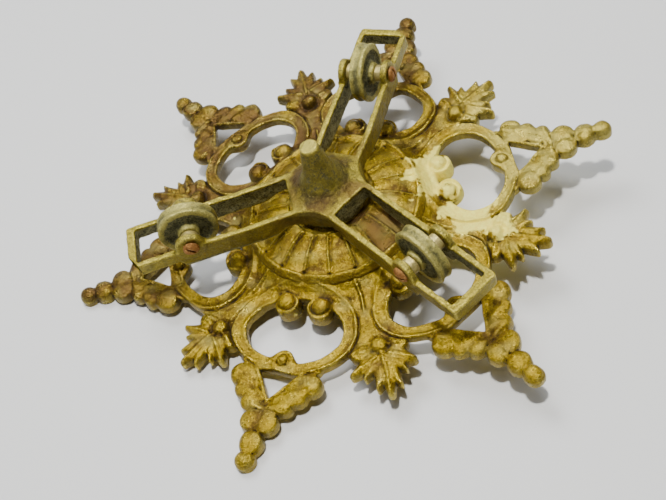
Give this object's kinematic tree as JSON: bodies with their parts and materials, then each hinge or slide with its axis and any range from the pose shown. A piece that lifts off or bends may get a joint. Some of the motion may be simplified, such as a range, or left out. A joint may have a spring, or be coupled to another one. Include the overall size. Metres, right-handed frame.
{
  "type": "lamp ceiling rosette with chain pulleys",
  "caption": "Openwork star-shaped ceiling rosette in cast brass with a slotted pulley frame for the chains of a rise-and-fall hanging lamp.",
  "frame": {"origin": "lowest point of the hanging eye, on the axis of the rosette, below the centre of the star", "axes": "+Z is the axis, from the ceiling side towards the decorative side and the conical boss; +Y points at one tip of the star; the arms lie at 30, 150 and 270 degrees from +X"},
  "size_m": [0.2618, 0.3006, 0.0768],
  "materials": {
    "star_brass": "cast, aged gold-brown patina, rubbed bright on the edges",
    "frame_brass": "cast, weathered greenish-grey patina",
    "pulley_brass": "turned, weathered greenish-grey patina",
    "bush_brass": "turned, pale worn brass",
    "screw_copper": "copper-red, dull",
    "bolt_iron": "dark forged iron"
  },
  "bodies": {
    "rosette": {"star_rosette": "star_brass", "pulley_frame": "frame_brass", "eye_bolt": "bolt_iron", "eye_nut": "bolt_iron", "eye_washer": "bolt_iron", "pulley_screw_1": "screw_copper", "pulley_screw_2": "screw_copper", "pulley_screw_3": "screw_copper", "bush_1a": "bush_brass", "bush_1b": "bush_brass", "bush_2a": "bush_brass", "bush_2b": "bush_brass", "bush_3a": "bush_brass", "bush_3b": "bush_brass"},
    "wheel_1": {"pulley_1": "pulley_brass"},
    "wheel_2": {"pulley_2": "pulley_brass"},
    "wheel_3": {"pulley_3": "pulley_brass"}
  },
  "joints": [
    {"name": "pulley_1_spin", "type": "hinge", "parent": "rosette", "child": "wheel_1", "pos_m": [0.06495, 0.0375, 0.04875], "axis": [0.5, -0.866, 0], "continuous": true},
    {"name": "pulley_2_spin", "type": "hinge", "parent": "rosette", "child": "wheel_2", "pos_m": [-0.06495, 0.0375, 0.04875], "axis": [-0.5, -0.866, 0], "continuous": true},
    {"name": "pulley_3_spin", "type": "hinge", "parent": "rosette", "child": "wheel_3", "pos_m": [0, -0.075, 0.04875], "axis": [-1, 0, 0], "continuous": true}
  ]
}
